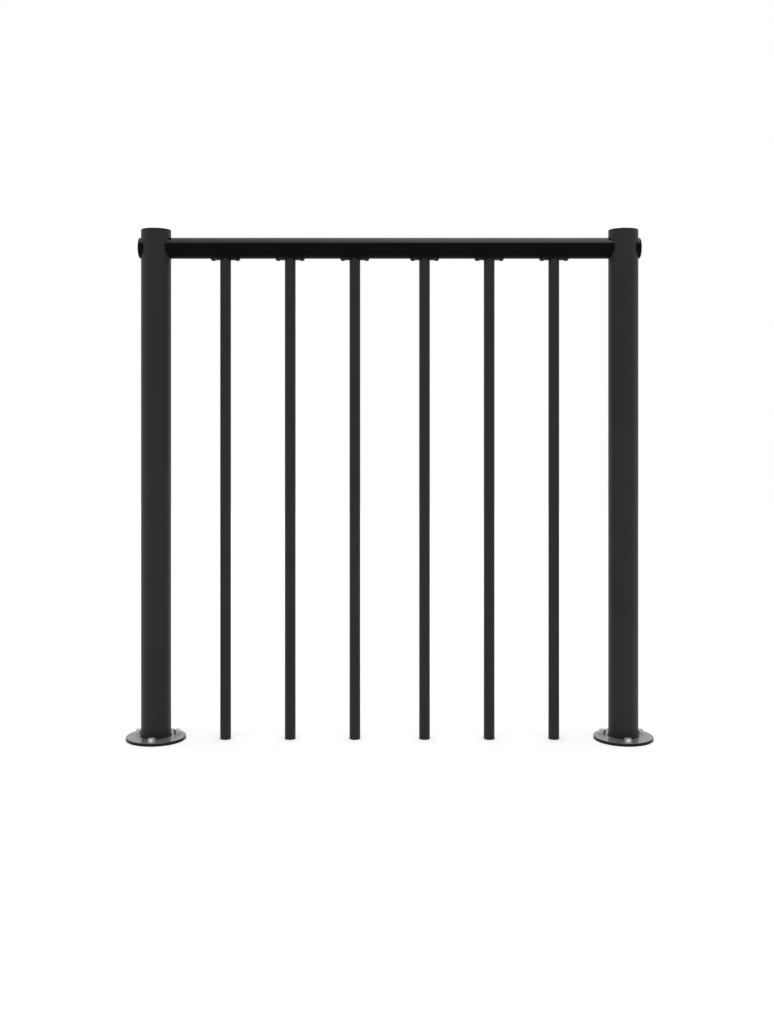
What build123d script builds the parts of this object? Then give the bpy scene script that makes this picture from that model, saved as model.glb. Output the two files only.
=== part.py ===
from build123d import *
import os

# Round-tube steel balustrade panel. Two posts stand on bolted flanges, one handrail
# runs through both posts, and two groups of balusters hang under it on saddles.
# Frame: origin at the centre of the left flange's underside, on the floor,
# +X along the rail to the right post, +Y away from the viewer, +Z up. Millimetres.

# Panel
post_spacing = 950.0        # centre to centre
rail_top = 1018.0           # floor to the rail's highest line
post_above_rail = 13.0      # post tube above the rail's highest line

# Posts
post_dia = 60.3
post_wall = 2.5

# Post caps
post_cap_thick = 3.0
post_cap_edge = 0.6         # chamfer of the upper rim
post_cap_skirt_wall = 1.5

# Base flanges
flange_dia = 120.0
flange_thick = 6.0
flange_edge = 0.8           # chamfer of the upper rim
bolt_circle = 90.0
bolt_hole_dia = 9.0         # clearance for M8
bolt_count = 3
first_bolt_angle = -90.0    # one bolt straight in front of the post
weld_leg = 2.2

# Handrail
rail_dia = 42.4
rail_wall = 2.0
rail_stickout = 0.5         # tube's end past the post's outermost line

# Handrail end caps
end_cap_head = 3.2
end_cap_edge = 3.0          # rounding of the head's rim
end_cap_skirt = 16.0
end_cap_skirt_wall = 1.8

# Balusters
baluster_dia = 22.0
baluster_wall = 1.5
group_size = 3              # balusters on each side of the panel's middle
end_pitch = 141.3           # post to the nearest baluster
middle_pitch = 141.6        # between the two groups

# Saddles between rail and balusters
saddle_length = 58.0
saddle_width = 26.0         # across the rail, measured straight
saddle_thick = 3.0
saddle_corner = 7.0
saddle_screw_pitch = 48.0
saddle_screw_hole_dia = 4.5
rail_pilot_dia = 3.3        # drilled in the rail for the saddle's screws
spigot_length = 14.0        # solid stub that the baluster slides over

# Foot plugs, tapped for a stud in the floor
plug_length = 20.0
tapping_dia = 6.8           # M8

# Clearances
rail_in_post = 0.25         # radial, rail in the posts' cross holes
weld_gap = 0.1              # radial, weld to post
cap_in_tube = 0.2           # radial, cap skirts in their tubes
cap_over_rail = 3.0         # post cap's skirt above the rail
saddle_on_rail = 0.1        # radial, saddle to rail
tube_on_saddle = 0.15       # radial, coped tube to saddle
spigot_in_tube = 0.15       # radial, spigot in baluster
plug_in_tube = 0.1          # radial, foot plug in baluster

# Derived sizes
post_r = post_dia / 2
post_bore_r = post_r - post_wall
post_top = rail_top + post_above_rail
post_cap_skirt = post_above_rail - cap_over_rail
post_cap_skirt_r = post_bore_r - cap_in_tube
rail_r = rail_dia / 2
rail_bore_r = rail_r - rail_wall
rail_height = rail_top - rail_r
rail_end = post_r + rail_stickout
end_cap_skirt_r = rail_bore_r - cap_in_tube
baluster_r = baluster_dia / 2
baluster_bore_r = baluster_r - baluster_wall
saddle_in_r = rail_r + saddle_on_rail
saddle_out_r = saddle_in_r + saddle_thick
saddle_low = rail_height - saddle_out_r

post_places = {"left": 0.0, "right": post_spacing}

group_span = (post_spacing - 2 * end_pitch - middle_pitch) / 2
group_pitch = group_span / (group_size - 1)
left_group = [end_pitch + step * group_pitch for step in range(group_size)]
right_group = [post_spacing - x for x in reversed(left_group)]
baluster_places = left_group + right_group
half_screws = saddle_screw_pitch / 2
screw_places = [(x + step, 0) for x in baluster_places for step in (-half_screws, half_screws)]

os.makedirs("parts", exist_ok=True)


def save(piece, name):
    piece.part.label = name
    export_step(piece.part, f"parts/{name}.step")


# Posts: round tube, with a cross hole for the rail through both walls
for side, x in post_places.items():
    with BuildPart() as post:
        with BuildSketch(Plane.XY.offset(flange_thick)):
            with Locations((x, 0)):
                Circle(post_r)
                Circle(post_bore_r, mode=Mode.SUBTRACT)
        extrude(amount=post_top - flange_thick)
        with BuildSketch(Plane.YZ.offset(x)):
            with Locations((0, rail_height)):
                Circle(rail_r + rail_in_post)
        extrude(amount=post_dia, both=True, mode=Mode.SUBTRACT)
    save(post, f"{side}_post")

# Post caps: a flat disc over the tube's end, on a skirt that plugs the bore
for side, x in post_places.items():
    with BuildPart() as post_cap:
        with BuildSketch(Plane.XY.offset(post_top)):
            with Locations((x, 0)):
                Circle(post_r)
        extrude(amount=post_cap_thick)
        chamfer(post_cap.edges().sort_by(Axis.Z)[-1], post_cap_edge)
        with BuildSketch(Plane.XY.offset(post_top)):
            with Locations((x, 0)):
                Circle(post_cap_skirt_r)
                Circle(post_cap_skirt_r - post_cap_skirt_wall, mode=Mode.SUBTRACT)
        extrude(amount=-post_cap_skirt)
    save(post_cap, f"{side}_post_cap")

# Base flanges: a disc with three bolt holes and a broken upper edge
for side, x in post_places.items():
    with BuildPart() as flange:
        with BuildSketch():
            with Locations((x, 0)):
                Circle(flange_dia / 2)
        extrude(amount=flange_thick)
        chamfer(flange.edges().sort_by(Axis.Z)[-1], flange_edge)
        with Locations((x, 0, flange_thick)):
            with PolarLocations(bolt_circle / 2, bolt_count, start_angle=first_bolt_angle):
                Hole(bolt_hole_dia / 2)
    save(flange, f"{side}_base_flange")

# Base welds: a three-cornered bead turned round the post's foot
for side, x in post_places.items():
    with BuildPart() as weld:
        with BuildSketch(Plane.XZ):
            with BuildLine():
                root = (x + post_r + weld_gap, flange_thick)
                toe = (x + post_r + weld_leg, flange_thick)
                crown = (x + post_r + weld_gap, flange_thick + weld_leg)
                Polyline(root, toe, crown, close=True)
            make_face()
        revolve(axis=Axis((x, 0, 0), (0, 0, 1)))
    save(weld, f"{side}_base_weld")

# Handrail: round tube through both posts, drilled below for the saddles' screws
with BuildPart() as handrail:
    with BuildSketch(Plane.YZ.offset(-rail_end)):
        with Locations((0, rail_height)):
            Circle(rail_r)
            Circle(rail_bore_r, mode=Mode.SUBTRACT)
    extrude(amount=post_spacing + 2 * rail_end)
    with BuildSketch(Plane.XY.offset(rail_height)):
        with Locations(*screw_places):
            Circle(rail_pilot_dia / 2)
    extrude(amount=-rail_dia, mode=Mode.SUBTRACT)
save(handrail, "handrail")

# Handrail end caps: a round-edged head over the tube's end, on a skirt in its bore
for side, x, outward in (("left", -rail_end, -1), ("right", post_spacing + rail_end, 1)):
    tube_mouth = Plane(origin=(x, 0, rail_height), x_dir=(0, 1, 0), z_dir=(outward, 0, 0))
    with BuildPart() as end_cap:
        with BuildSketch(tube_mouth):
            Circle(rail_r)
        extrude(amount=end_cap_head)
        rim = end_cap.edges().sort_by(Axis((0, 0, 0), (outward, 0, 0)))[-1]
        fillet(rim, end_cap_edge)
        with BuildSketch(tube_mouth):
            Circle(end_cap_skirt_r)
            Circle(end_cap_skirt_r - end_cap_skirt_wall, mode=Mode.SUBTRACT)
        extrude(amount=-end_cap_skirt)
    save(end_cap, f"{side}_handrail_end_cap")

# Balusters: round tubes from the floor, coped at the top to the saddle's underside
for number, x in enumerate(baluster_places, 1):
    with BuildPart() as baluster:
        with BuildSketch():
            with Locations((x, 0)):
                Circle(baluster_r)
                Circle(baluster_bore_r, mode=Mode.SUBTRACT)
        extrude(amount=rail_height)
        with BuildSketch(Plane.YZ.offset(x)):
            with Locations((0, rail_height)):
                Circle(saddle_out_r + tube_on_saddle)
        extrude(amount=baluster_dia, both=True, mode=Mode.SUBTRACT)
    save(baluster, f"baluster_{number}")

# Saddles: a plate bent round the rail's underside, with a spigot for the baluster
for number, x in enumerate(baluster_places, 1):
    with BuildPart() as saddle:
        with BuildSketch(Plane.YZ.offset(x)):
            with Locations((0, rail_height)):
                Circle(saddle_out_r)
        extrude(amount=saddle_length / 2, both=True)
        with BuildSketch(Plane.XY.offset(saddle_low)):
            with Locations((x, 0)):
                RectangleRounded(saddle_length, saddle_width, saddle_corner)
        extrude(amount=saddle_out_r, mode=Mode.INTERSECT)
        with BuildSketch(Plane.XY.offset(saddle_low - spigot_length)):
            with Locations((x, 0)):
                Circle(baluster_bore_r - spigot_in_tube)
        extrude(amount=spigot_length + saddle_thick)
        with BuildSketch(Plane.YZ.offset(x)):
            with Locations((0, rail_height)):
                Circle(saddle_in_r)
        extrude(amount=saddle_length, both=True, mode=Mode.SUBTRACT)
        with BuildSketch(Plane.XY.offset(rail_height)):
            with Locations((x - half_screws, 0), (x + half_screws, 0)):
                Circle(saddle_screw_hole_dia / 2)
        extrude(amount=-rail_dia, mode=Mode.SUBTRACT)
    save(saddle, f"saddle_{number}")

# Foot plugs: a round insert in each baluster's lower end, tapped from below
for number, x in enumerate(baluster_places, 1):
    with BuildPart() as plug:
        with BuildSketch():
            with Locations((x, 0)):
                Circle(baluster_bore_r - plug_in_tube)
                Circle(tapping_dia / 2, mode=Mode.SUBTRACT)
        extrude(amount=plug_length)
    save(plug, f"baluster_foot_plug_{number}")
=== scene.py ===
import bpy
import bmesh
import math
from mathutils import Matrix, Vector


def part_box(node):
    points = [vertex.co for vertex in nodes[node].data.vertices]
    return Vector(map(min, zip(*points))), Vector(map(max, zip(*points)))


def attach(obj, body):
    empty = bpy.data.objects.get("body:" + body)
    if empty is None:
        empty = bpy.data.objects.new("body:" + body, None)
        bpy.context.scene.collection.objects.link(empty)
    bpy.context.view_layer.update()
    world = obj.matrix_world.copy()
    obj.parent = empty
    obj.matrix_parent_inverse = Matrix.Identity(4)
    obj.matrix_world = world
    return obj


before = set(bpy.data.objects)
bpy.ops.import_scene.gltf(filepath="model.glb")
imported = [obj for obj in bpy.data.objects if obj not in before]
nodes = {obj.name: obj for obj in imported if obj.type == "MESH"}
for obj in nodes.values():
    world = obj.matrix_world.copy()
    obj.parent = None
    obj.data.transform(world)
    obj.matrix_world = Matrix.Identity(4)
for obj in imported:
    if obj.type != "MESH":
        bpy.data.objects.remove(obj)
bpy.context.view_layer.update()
print("frame loaded:", len(nodes), "nodes")

mm = 0.001


def middle(name):
    low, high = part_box(name)
    return (low + high) / 2


# Places of the panel, read from the frame
flangeLow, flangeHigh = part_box("left_base_flange")
sides = {"left": middle("left_post").x, "right": middle("right_post").x}
saddleCount = sum(name.startswith("saddle_") for name in nodes)
panel = {
    "postSpacing": sides["right"] - sides["left"],
    "flangeTop": flangeHigh.z,
    "flangeRadius": (flangeHigh.x - flangeLow.x) / 2,
    "railHeight": middle("handrail").z,
    "balusters": [middle(f"baluster_{number}").x for number in range(1, saddleCount + 1)],
}

# Camera: level, square on to the panel, with the photograph's horizon and middle column
view = {
    "width": 774,
    "height": 1024,
    "middleColumn": 389.69,
    "horizonRow": 419.65,
    "focalPixels": 1160.0,
    "millimetresPerPixel": 2.0336,    # at the plane of the posts
    "sensor": 36.0,
    "eyeHeight": 0.6484,
    "tilt": 90,                       # degrees up from straight down, so level
}


def makeCamera():
    data = bpy.data.cameras.new("photoCamera")
    data.sensor_fit = "AUTO"
    data.sensor_width = view["sensor"]
    data.lens = view["sensor"] * view["focalPixels"] / view["height"]
    data.shift_x = -(view["middleColumn"] - view["width"] / 2) / view["height"]
    data.shift_y = (view["horizonRow"] - view["height"] / 2) / view["height"]
    camera = bpy.data.objects.new("photoCamera", data)
    eyeDistance = view["focalPixels"] * view["millimetresPerPixel"] * mm
    camera.location = (panel["postSpacing"] / 2, -eyeDistance, view["eyeHeight"])
    camera.rotation_euler = (math.radians(view["tilt"]), 0, 0)
    bpy.context.scene.collection.objects.link(camera)
    bpy.context.scene.camera = camera


makeCamera()
print("camera placed")


# Shader maths: a Wire is one output socket, and sums and products of wires add their Math nodes
class Wire:
    def __init__(self, tree, socket=None):
        self.tree = tree
        self.socket = socket

    def node(self, kind, settings=None, values=None, out=0):
        made = self.tree.nodes.new(kind)
        for name, value in (settings or {}).items():
            setattr(made, name, value)
        for name, value in (values or {}).items():
            if isinstance(value, Wire):
                self.tree.links.new(value.socket, made.inputs[name])
            else:
                made.inputs[name].default_value = value
        return Wire(self.tree, made.outputs[out] if made.outputs else None)

    def math(self, operation, first, second=0.0):
        return self.node("ShaderNodeMath", {"operation": operation}, {0: first, 1: second})

    def __add__(self, other):
        return self.math("ADD", self, other)

    def __radd__(self, other):
        return self.math("ADD", other, self)

    def __sub__(self, other):
        return self.math("SUBTRACT", self, other)

    def __rsub__(self, other):
        return self.math("SUBTRACT", other, self)

    def __mul__(self, other):
        return self.math("MULTIPLY", self, other)

    def __rmul__(self, other):
        return self.math("MULTIPLY", other, self)


def startMaterial(name):
    material = bpy.data.materials.new(name)
    material.use_nodes = True
    material.node_tree.nodes.clear()
    wire = Wire(material.node_tree)
    return material, wire, wire.node("ShaderNodeTexCoord", out="Object")


def noise(place, scale, detail=3, roughness=0.5):
    return place.node("ShaderNodeTexNoise", {}, {
        "Vector": place, "Scale": scale, "Detail": detail, "Roughness": roughness})


# A noise of 0 to 1 as a swing to both sides of zero
def swing(value, spread):
    return (value - 0.5) * spread


def along(place, axis):
    return place.node("ShaderNodeSeparateXYZ", {}, {"Vector": place}, out=axis)


def between(value, low, high):
    return value.node("ShaderNodeMapRange", {"interpolation_type": "SMOOTHSTEP"}, {
        "Value": value, "From Min": low, "From Max": high})


def grey(level):
    return (level, level, level, 1)


def mixColour(amount, first, second):
    colours = {6: first if isinstance(first, Wire) else grey(first),
               7: second if isinstance(second, Wire) else grey(second)}
    return amount.node("ShaderNodeMix", {"data_type": "RGBA"}, {0: amount, **colours}, out=2)


def bump(height, strength, distance):
    return height.node("ShaderNodeBump", {}, {
        "Height": height, "Strength": strength, "Distance": distance})


# How far a point is to the right of the nearer post's middle
def acrossPost(place):
    across = along(place, "X")
    nearerRight = across.math("GREATER_THAN", across, panel["postSpacing"] / 2)
    return across - nearerRight * panel["postSpacing"]


def distance(first, second):
    return first.math("SQRT", first * first + second * second)


def finish(material, wire, values):
    shader = wire.node("ShaderNodeBsdfPrincipled", {}, values)
    wire.node("ShaderNodeOutputMaterial", {}, {"Surface": shader})
    return material


# Powder coat: a slow change of shade, fine specks, and orange peel that also breaks up the gloss
satinCoat = {
    "dark": 0.0088,
    "light": 0.0131,
    "roughness": 0.50,
    "roughSpread": 0.10,
    "specular": 0.25,
    "shadeScale": 9.0,
    "shadeRange": (0.3, 0.7),
    "shadeShare": 0.7,            # the shares are of the way from dark to light
    "peelScale": 650.0,
    "peelShare": 0.3,
    "peelStrength": 0.35,
    "peelDepth": 0.06 * mm,
    "speckScale": 1500.0,
    "speckRange": (0.66, 0.72),
    "speckShare": 0.5,
}
# Painted shade: the saddles and their screws sit in the shade under the rail, so their coats are
# darker copies of the satin coat
saddleShadedCoat = dict(satinCoat, dark=0.0032, light=0.0050, roughness=0.42, specular=0.05)
screwShadedCoat = dict(satinCoat, dark=0.0010, light=0.0020, roughness=0.42, specular=0.02)
weldShadedCoat = dict(satinCoat, dark=0.0052, light=0.0082, specular=0.12)    # painted shade: a darker copy of the satin coat round the welds, for the shadow where the post meets the flange


def powderCoat(name, look):
    material, wire, place = startMaterial(name)
    shade = between(noise(place, look["shadeScale"]), *look["shadeRange"])
    peel = noise(place, look["peelScale"])
    speck = between(noise(place, look["speckScale"], detail=1), *look["speckRange"])
    tone = shade * look["shadeShare"] + peel * look["peelShare"] + speck * look["speckShare"]
    return finish(material, wire, {
        "Base Color": mixColour(tone, look["dark"], look["light"]),
        "Roughness": look["roughness"] + swing(peel, look["roughSpread"]),
        "Specular IOR Level": look["specular"],
        "Normal": bump(peel, look["peelStrength"], look["peelDepth"])})


# Weld coat: darker, as painted shade where post meets flange, over the bead's ripples counted round
# each post; the toe is lighter, dust and painted light as on the flange's top
weldBead = {
    "ripples": 58,
    "rippleDepth": 0.5 * mm,
    "rippleStrength": 0.9,
    "rippleRelief": 0.8,
    "peelRelief": 0.2,
    "waver": 2.2,                 # how unevenly the bead was laid
    "waverScale": 120.0,
    "shadeScale": 300.0,
    "shadeShare": 0.6,
    "rippleShare": 0.2,           # on each side of the middle tone
    # the toe's lighter grey is dust and painted light, as on the flange's top
    "dustAndPaintedLight": 0.085,
    "dustAndPaintedLightFrom": panel["flangeTop"] + 1.2 * mm,
    "dustAndPaintedLightTo": panel["flangeTop"] + 0.6 * mm,
    "dustAndPaintedLightCover": 0.6,             # where the shade is darkest
    "dustAndPaintedLightSpread": 0.6,
}


def weldCoat(name, look, bead):
    material, wire, place = startMaterial(name)
    turn = wire.math("ARCTAN2", along(place, "Y"), acrossPost(place))
    waver = noise(place, bead["waverScale"], detail=2)
    ripple = wire.math("SINE", turn * bead["ripples"] + waver * bead["waver"])
    peel = noise(place, look["peelScale"])
    shade = noise(place, bead["shadeScale"])
    tone = shade * bead["shadeShare"] + ripple * bead["rippleShare"] + bead["rippleShare"]
    # painted light at the toe, with dust, as on the flange's top
    toe = 1 - between(along(place, "Z"), bead["dustAndPaintedLightTo"], bead["dustAndPaintedLightFrom"])
    dustAndPaintedLightMask = toe * (bead["dustAndPaintedLightCover"] + shade * bead["dustAndPaintedLightSpread"])
    relief = ripple * bead["rippleRelief"] + peel * bead["peelRelief"]
    return finish(material, wire, {
        "Base Color": mixColour(dustAndPaintedLightMask, mixColour(tone, look["dark"], look["light"]), bead["dustAndPaintedLight"]),
        "Roughness": look["roughness"] + swing(peel, look["roughSpread"]),
        "Specular IOR Level": look["specular"],
        "Normal": bump(relief, bead["rippleStrength"], bead["rippleDepth"])})


# Flange coat: black on the rim, rubbed along its upper edge; the top is a lighter grey, dust and
# painted light on the top face, scuffed and wiped
flange = {
    "dark": 0.0085,
    "light": 0.0125,
    "shadeScale": 60.0,
    "roughness": 0.40,
    "roughSpread": 0.12,
    "specular": 0.10,
    # the top face's lighter grey is dust and painted light
    "dustAndPaintedLightDark": 0.070,
    "dustAndPaintedLightBright": 0.160,
    "dustAndPaintedLightFrom": panel["flangeTop"] - 0.25 * mm,
    "dustAndPaintedLightTo": panel["flangeTop"] - 0.05 * mm,
    "dustRoughSpread": 0.10,
    "patchScale": 95.0,
    "patchDetail": 4,
    "patchRoughness": 0.65,
    "patchRange": (0.3, 0.7),
    "patchShare": 0.75,           # the shares are of the way from dustAndPaintedLightDark to dustAndPaintedLightBright
    "scuffScale": 420.0,
    "scuffTurn": 0.6,             # radians round the upright axis
    "scuffSqueeze": 0.12,         # of the scale along the scuffs
    "scuffShare": 0.25,
    "rubbed": 0.045,
    "rubbedWidth": 0.9 * mm,      # from the outer line inwards and down
    "rubbedScale": 240.0,
    "rubbedRange": (0.42, 0.62),
    "wiped": 0.85,
    "wipedSpread": 0.2,
    "wipedIor": 1.6,
    "wipedRoughness": 0.30,
    "peelRelief": 0.6,
    "scuffRelief": 0.4,
    "reliefStrength": 0.35,
    "reliefDepth": 0.05 * mm,
}


def flangeCoat(name, look):
    material, wire, place = startMaterial(name)
    height = along(place, "Z")
    upper = between(height, look["dustAndPaintedLightFrom"], look["dustAndPaintedLightTo"])
    outward = distance(acrossPost(place), along(place, "Y"))
    width = look["rubbedWidth"]
    edge = (between(outward, panel["flangeRadius"] - width, panel["flangeRadius"] - width / 2)
            * between(height, panel["flangeTop"] - width, panel["flangeTop"] - width / 2))
    rubbed = edge * between(noise(place, look["rubbedScale"]), *look["rubbedRange"])
    shade = noise(place, look["shadeScale"])
    peel = noise(place, satinCoat["peelScale"])
    patches = between(noise(place, look["patchScale"], look["patchDetail"], look["patchRoughness"]),
                      *look["patchRange"])
    drawnOut = place.node("ShaderNodeMapping", {}, {
        "Vector": place, "Rotation": (0, 0, look["scuffTurn"]), "Scale": (1, look["scuffSqueeze"], 1)})
    scuffs = noise(drawnOut, look["scuffScale"])
    black = mixColour(shade, look["dark"], look["light"])
    # painted light: the top face gets a lighter grey than the black rim, part dust and part the light
    # falling on it
    dustAndPaintedLight = mixColour(patches * look["patchShare"] + scuffs * look["scuffShare"],
                     look["dustAndPaintedLightDark"], look["dustAndPaintedLightBright"])
    relief = peel * look["peelRelief"] + scuffs * look["scuffRelief"]
    return finish(material, wire, {
        "Base Color": mixColour(rubbed, mixColour(upper, black, dustAndPaintedLight), look["rubbed"]),
        "Roughness": (look["roughness"] + swing(peel, look["roughSpread"])
                      + upper * swing(patches, look["dustRoughSpread"])),
        "Specular IOR Level": look["specular"],
        "Coat Weight": upper * (look["wiped"] + swing(patches, look["wipedSpread"])),
        "Coat IOR": look["wipedIor"],
        "Coat Roughness": look["wipedRoughness"],
        "Normal": bump(relief, look["reliefStrength"], look["reliefDepth"])})


# Gloss coat of the rail: dull black, with a clear gloss where hands polish its upper side
gloss = {
    "dark": 0.0028,
    "light": 0.0042,
    "shadeScale": 12.0,
    "roughness": 0.35,
    "roughSpread": 0.10,
    "specular": 0.03,
    "polish": (0.135, 0.235),     # at the left post, and from polishReach to the right one
    "polishReach": 0.7 * panel["postSpacing"],
    "polishIor": 1.8,
    "polishRoughness": 0.07,
    "polishFrom": panel["railHeight"] + 7.3 * mm,
    "polishTo": panel["railHeight"] + 9.9 * mm,
    "peelScale": 420.0,
    "peelStrength": 0.12,
    "peelDepth": 0.04 * mm,
}


def glossCoat(name, look):
    material, wire, place = startMaterial(name)
    least, most = look["polish"]
    polish = least + between(along(place, "X"), 0.0, look["polishReach"]) * (most - least)
    shade = noise(place, look["shadeScale"])
    peel = noise(place, look["peelScale"], detail=2)
    return finish(material, wire, {
        "Base Color": mixColour(shade, look["dark"], look["light"]),
        "Roughness": look["roughness"] + swing(peel, look["roughSpread"]),
        "Specular IOR Level": look["specular"],
        "Coat Weight": between(along(place, "Z"), look["polishFrom"], look["polishTo"]) * polish,
        "Coat Roughness": look["polishRoughness"],
        "Coat IOR": look["polishIor"],
        "Normal": bump(peel, look["peelStrength"], look["peelDepth"])})


# Moulded plastic of the caps and plugs: an even fine grain
capPlastic = {
    "dark": 0.0025,
    "light": 0.0040,
    "shadeScale": 40.0,
    "roughness": 0.45,
    "roughSpread": 0.15,
    "specular": 0.05,
    "grainScale": 1800.0,
    "grainStrength": 0.3,
    "grainDepth": 0.04 * mm,
}
postCapPlastic = dict(capPlastic, dark=0.0045, light=0.0065, specular=0.12)


def mouldedPlastic(name, look):
    material, wire, place = startMaterial(name)
    grain = noise(place, look["grainScale"], detail=2)
    shade = noise(place, look["shadeScale"], detail=2)
    return finish(material, wire, {
        "Base Color": mixColour(shade, look["dark"], look["light"]),
        "Roughness": look["roughness"] + swing(grain, look["roughSpread"]),
        "Specular IOR Level": look["specular"],
        "Normal": bump(grain, look["grainStrength"], look["grainDepth"])})


# Zinc plate: bright metal with faint patches and fine grain, dulled by dust on what faces up
zinc = {
    "dark": 0.56,
    "light": 0.76,
    "patchScale": 260.0,
    "roughness": 0.30,
    "roughSpread": 0.20,
    "specular": 0.20,
    "dustAndPaintedLight": 0.38,
    "dustFacing": (0.6, 0.95),    # how far up a face looks, from where dust starts to lie
    "dustAndPaintedLightCover": 0.85,
    "dustAndPaintedLightSpread": 0.3,
    "dustOverMetal": 0.6,
    "grainScale": 2600.0,
    "grainStrength": 0.2,
    "grainDepth": 0.03 * mm,
}


def zincPlate(name, look):
    material, wire, place = startMaterial(name)
    facing = wire.node("ShaderNodeTexCoord", out="Normal")
    patch = noise(place, look["patchScale"])
    grain = noise(place, look["grainScale"], detail=2)
    facingUp = between(along(facing, "Z"), *look["dustFacing"])
    dustAndPaintedLightMask = facingUp * (look["dustAndPaintedLightCover"] + patch * look["dustAndPaintedLightSpread"])
    return finish(material, wire, {
        "Base Color": mixColour(dustAndPaintedLightMask, mixColour(patch, look["dark"], look["light"]), look["dustAndPaintedLight"]),
        "Metallic": 1 - dustAndPaintedLightMask * look["dustOverMetal"],
        "Roughness": look["roughness"] + swing(patch, look["roughSpread"]),
        "Specular IOR Level": look["specular"],
        "Normal": bump(grain, look["grainStrength"], look["grainDepth"])})


finishes = {
    "satin_black_steel": powderCoat("satinPowderCoat", satinCoat),
    "flange_coat": flangeCoat("flangePowderCoat", flange),
    "saddle_steel": powderCoat("saddleShadedPowderCoat", saddleShadedCoat),
    "gloss_black_steel": glossCoat("glossPowderCoat", gloss),
    "cap_plastic": mouldedPlastic("capPlastic", capPlastic),
    "plug_plastic": mouldedPlastic("plugPlastic", capPlastic),
}
ownFinishes = {
    "base_weld": weldCoat("weldShadedPowderCoat", weldShadedCoat, weldBead),
    "post_cap": mouldedPlastic("postCapPlastic", postCapPlastic),
}
zincMaterial = zincPlate("brightZincPlate", zinc)
# the screws' darker coat is painted shade
screwShadedMaterial = powderCoat("screwShadedCoat", screwShadedCoat)

# A node's own finish comes before that of its slot
for name, node in nodes.items():
    own = [made for ending, made in ownFinishes.items() if name.endswith(ending)]
    for slot in node.material_slots:
        slot.material = own[0] if own else finishes[slot.material.name.split(".")[0]]
print("CAD nodes finished:", len(finishes) + len(ownFinishes), "materials")


def makePiece(name, mesh, material, shift=(0, 0, 0), turn=0):
    data = mesh.copy()
    data.name = name
    data.transform(Matrix.Translation(shift) @ Matrix.Rotation(math.radians(turn), 4, "Z"))
    data.materials.clear()
    data.materials.append(material)
    piece = bpy.data.objects.new(name, data)
    bpy.context.scene.collection.objects.link(piece)
    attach(piece, "root")
    return piece


mergeDistance = 0.001 * mm


def toMesh(bm, name):
    bmesh.ops.remove_doubles(bm, verts=bm.verts, dist=mergeDistance)
    bmesh.ops.recalc_face_normals(bm, faces=bm.faces)
    mesh = bpy.data.meshes.new(name)
    bm.to_mesh(mesh)
    bm.free()
    return mesh


# Grows one face outwards by a lift along Z and a change of its radius, and gives the new face
def grow(bm, face, lift, reach=None):
    face = bmesh.ops.extrude_discrete_faces(bm, faces=[face])["faces"][0]
    bmesh.ops.translate(bm, verts=face.verts, vec=(0, 0, lift))
    if reach is not None:
        now = max(vert.co.xy.length for vert in face.verts)
        bmesh.ops.scale(bm, verts=face.verts, vec=(reach / now, reach / now, 1))
    return face


def highest(bm):
    return max(bm.faces, key=lambda face: face.calc_center_median().z)


def lowest(bm):
    return min(bm.faces, key=lambda face: face.calc_center_median().z)


# Flat washer: its closed section is spun once round the bolt's axis
washer = {
    "outerRadius": 8.0 * mm,
    "holeRadius": 4.2 * mm,
    "thickness": 1.6 * mm,
    "edge": 0.25 * mm,
    "steps": 48,
}


def flatWasher():
    bm = bmesh.new()
    outer, inner = washer["outerRadius"], washer["holeRadius"]
    thick, edge = washer["thickness"], washer["edge"]
    corners = [(inner, 0), (outer - edge, 0), (outer, edge), (outer, thick - edge),
               (outer - edge, thick), (inner, thick)]
    ring = [bm.verts.new((radius, 0, height)) for radius, height in corners]
    edges = [bm.edges.new((ring[i - 1], ring[i])) for i in range(len(ring))]
    bmesh.ops.spin(bm, geom=ring + edges, cent=(0, 0, 0), axis=(0, 0, 1), dvec=(0, 0, 0),
                   angle=math.tau, steps=washer["steps"], use_merge=True)
    return toMesh(bm, "flatWasher")


# Hexagons of the bolts' heads and the screws' sockets
hexSides = 6
hexSector = math.radians(360 / hexSides)

# Bolt head: M8 hexagon, one flat towards -Y, with a turned chamfer round its top
boltHead = {
    "acrossFlats": 13 * mm,
    "height": 5.3 * mm,
    "flatTop": 12.2 * mm,           # diameter inside the chamfer
    "chamferAngle": 30,
    "chamferSides": 36,
    "cornerRound": 0.25 * mm,
    "cornerSteps": 2,
}


def hexHead():
    bm = bmesh.new()
    corner, height = boltHead["acrossFlats"] / math.sqrt(3), boltHead["height"]
    bmesh.ops.create_cone(bm, cap_ends=True, segments=hexSides, radius1=corner,
                          radius2=corner, depth=height)
    bmesh.ops.rotate(bm, verts=bm.verts, matrix=Matrix.Rotation(hexSector / 2, 3, "Z"))
    bmesh.ops.translate(bm, verts=bm.verts, vec=(0, 0, height / 2))
    tilt = math.radians(boltHead["chamferAngle"])
    for side in range(boltHead["chamferSides"]):
        turn = math.tau * side / boltHead["chamferSides"]
        outward = Vector((math.cos(turn), math.sin(turn), 0))
        rim = outward * boltHead["flatTop"] / 2 + Vector((0, 0, height))
        slope = outward * math.sin(tilt) + Vector((0, 0, math.cos(tilt)))
        cut = bmesh.ops.bisect_plane(bm, geom=bm.verts[:] + bm.edges[:] + bm.faces[:],
                                     plane_co=rim, plane_no=slope, clear_outer=True)
        edges = [part for part in cut["geom_cut"] if isinstance(part, bmesh.types.BMEdge)]
        if edges:
            bmesh.ops.contextual_create(bm, geom=edges)
    uprights = [edge for edge in bm.edges
                if abs(edge.verts[0].co.z - edge.verts[1].co.z) > height / 2]
    bmesh.ops.bevel(bm, geom=uprights, offset=boltHead["cornerRound"], offset_type="OFFSET",
                    affect="EDGES", segments=boltHead["cornerSteps"], profile=0.5, material=-1)
    return toMesh(bm, "hexHead")


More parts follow.
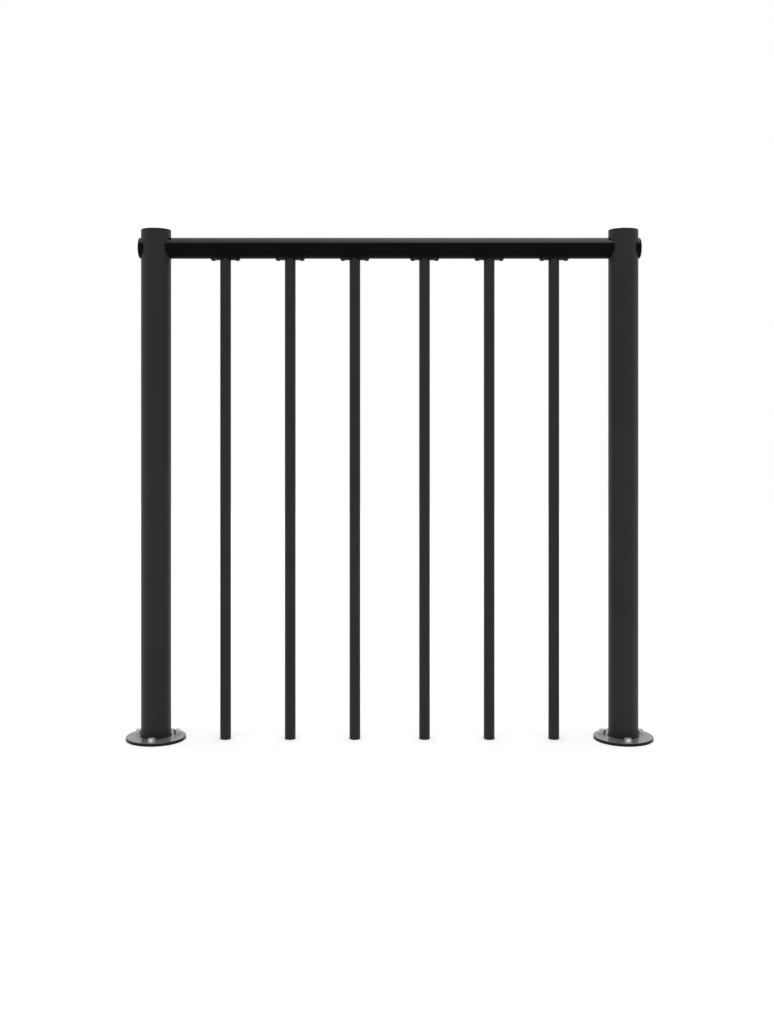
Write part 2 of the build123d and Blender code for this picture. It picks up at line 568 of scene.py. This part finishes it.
# Bolt shank: from inside the head down through washer and flange, ending just above the floor
boltShank = {
    "radius": 4.0 * mm,
    "foot": 0.3 * mm,
    "tip": 0.8 * mm,
    "intoHead": 0.4 * mm,
    "sides": 32,
}


def shankMesh():
    bm = bmesh.new()
    radius, tip = boltShank["radius"], boltShank["tip"]
    top = panel["flangeTop"] + washer["thickness"] + boltShank["intoHead"]
    bmesh.ops.create_cone(bm, cap_ends=True, segments=boltShank["sides"], radius1=radius - tip,
                          radius2=radius, depth=tip)
    bmesh.ops.translate(bm, verts=bm.verts, vec=(0, 0, boltShank["foot"] + tip / 2))
    grow(bm, highest(bm), top - boltShank["foot"] - tip)
    return toMesh(bm, "boltShank")


# Flange bolts: three on a circle round each post, the heads turned as the spanner left them
boltPlaces = {
    "circleRadius": 45 * mm,
    "angles": (-90, 30, 150),
    "turns": {"left": (0, 16, -10), "right": (0, 6, -16)},
}


def makeFlangeBolts():
    washerMesh, headMesh, shank = flatWasher(), hexHead(), shankMesh()
    for side, x in sides.items():
        placed = zip(boltPlaces["angles"], boltPlaces["turns"][side])
        for number, (angle, turn) in enumerate(placed, 1):
            outward = Vector((math.cos(math.radians(angle)), math.sin(math.radians(angle)), 0))
            spot = Vector((x, 0, 0)) + outward * boltPlaces["circleRadius"]
            seat = spot + Vector((0, 0, panel["flangeTop"]))
            underHead = seat + Vector((0, 0, washer["thickness"]))
            makePiece(f"{side}FlangeWasher_{number}", washerMesh, zincMaterial, seat)
            makePiece(f"{side}FlangeBoltHead_{number}", headMesh, zincMaterial, underHead, turn)
            makePiece(f"{side}FlangeBoltShank_{number}", shank, zincMaterial, spot)


makeFlangeBolts()
print("flange bolts made")

# Saddle screws: low domed heads with a hexagon socket, under both ends of each saddle
screw = {
    "headRadius": 4.0 * mm,
    "headHeight": 1.7 * mm,
    "rim": 0.5 * mm,
    "domeAngle": 60,
    "domeSteps": 6,
    "socketAcross": 2.5 * mm,
    "socketDepth": 1.0 * mm,
    "shankRadius": 1.6 * mm,
    "shankLength": 10 * mm,
    "sides": 48,
    "pitch": 48 * mm,
    "seat": panel["railHeight"] - 24.3 * mm,    # the saddle's lowest line
    "sunk": 0.35 * mm,              # into the hollow between the flat head and the curved saddle
}


def domedScrew():
    bm = bmesh.new()
    radius, rim = screw["headRadius"], screw["rim"]
    bmesh.ops.create_cone(bm, cap_ends=True, segments=screw["sides"], radius1=radius,
                          radius2=radius, depth=rim)
    bmesh.ops.translate(bm, verts=bm.verts, vec=(0, 0, -rim / 2))
    shankFoot = grow(bm, highest(bm), 0, screw["shankRadius"])
    grow(bm, shankFoot, screw["shankLength"])
    face = lowest(bm)
    steps = [math.radians(screw["domeAngle"] * step / screw["domeSteps"])
             for step in range(screw["domeSteps"] + 1)]
    drop = (screw["headHeight"] - rim) / math.sin(steps[-1])
    for before, after in zip(steps, steps[1:]):
        lift = -drop * (math.sin(after) - math.sin(before))
        face = grow(bm, face, lift, radius * math.cos(after))
    face = grow(bm, face, 0)
    for vert in face.verts:
        turn = math.atan2(vert.co.y, vert.co.x) % hexSector - hexSector / 2
        vert.co.xy = vert.co.xy.normalized() * screw["socketAcross"] / 2 / math.cos(turn)
    grow(bm, face, screw["socketDepth"])
    return toMesh(bm, "domedScrew")


def makeSaddleScrews():
    mesh = domedScrew()
    for number, x in enumerate(panel["balusters"], 1):
        for end, step in (("left", -0.5), ("right", 0.5)):
            spot = (x + step * screw["pitch"], 0, screw["seat"] + screw["sunk"])
            piece = makePiece(f"saddleScrew_{number}_{end}", mesh, screwShadedMaterial, spot)


makeSaddleScrews()
print("saddle screws made")


# 1 where a ray comes from the camera, a reflection or a transmission
def seenRays(wire):
    camera = wire.node("ShaderNodeLightPath", out="Is Camera Ray")
    glossy = wire.node("ShaderNodeLightPath", out="Is Glossy Ray")
    through = wire.node("ShaderNodeLightPath", out="Is Transmission Ray")
    return wire.math("MINIMUM", camera + glossy + through, 1.0)


# Floor: plain and white, and it keeps the panel's shadow
floorLook = {
    "size": 12.0,
    "colour": 0.86,
    "mottle": 0.004,
    "mottleScale": 3.0,
    "lift": 0.20,                   # glow that only seen rays meet
}


def makeFloor():
    material, wire, place = startMaterial("paleFloor")
    colour = floorLook["colour"]
    mottle = noise(place, floorLook["mottleScale"])
    plain = wire.node("ShaderNodeBsdfDiffuse", {}, {
        "Color": mixColour(mottle, colour - floorLook["mottle"], colour)})
    lift = wire.node("ShaderNodeEmission", {}, {
        "Color": grey(1.0), "Strength": seenRays(wire) * floorLook["lift"]})
    both = wire.node("ShaderNodeAddShader", {}, {0: plain, 1: lift})
    wire.node("ShaderNodeOutputMaterial", {}, {"Surface": both})
    bm = bmesh.new()
    bmesh.ops.create_grid(bm, x_segments=2, y_segments=2, size=floorLook["size"] / 2)
    bmesh.ops.translate(bm, verts=bm.verts, vec=(panel["postSpacing"] / 2, 0, 0))
    mesh = bpy.data.meshes.new("floor")
    bm.to_mesh(mesh)
    bm.free()
    mesh.materials.append(material)
    floor = bpy.data.objects.new("floor", mesh)
    bpy.context.scene.collection.objects.link(floor)


# Light: a white surround, and one broad light straight overhead
surround = {"strength": 0.50}       # for the rays that light things; seen rays meet full white
overhead = {
    "width": 70,                    # degrees, seen from the panel
    "strength": 1.9,
    "height": 3.0,
}


def makeSurround():
    world = bpy.data.worlds.new("whiteSurround")
    world.use_nodes = True
    world.node_tree.nodes.clear()
    wire = Wire(world.node_tree)
    strength = surround["strength"] + seenRays(wire) * (1 - surround["strength"])
    background = wire.node("ShaderNodeBackground", {}, {"Color": grey(1.0), "Strength": strength})
    wire.node("ShaderNodeOutputWorld", {}, {"Surface": background})
    bpy.context.scene.world = world


def makeOverheadLight():
    data = bpy.data.lights.new("overheadLight", "SUN")
    data.angle = math.radians(overhead["width"])
    data.energy = overhead["strength"]
    lamp = bpy.data.objects.new("overheadLight", data)
    lamp.location = (panel["postSpacing"] / 2, 0, overhead["height"])
    bpy.context.scene.collection.objects.link(lamp)


makeFloor()
makeSurround()
makeOverheadLight()
bpy.context.scene.view_settings.view_transform = "Standard"
print("floor and light made")
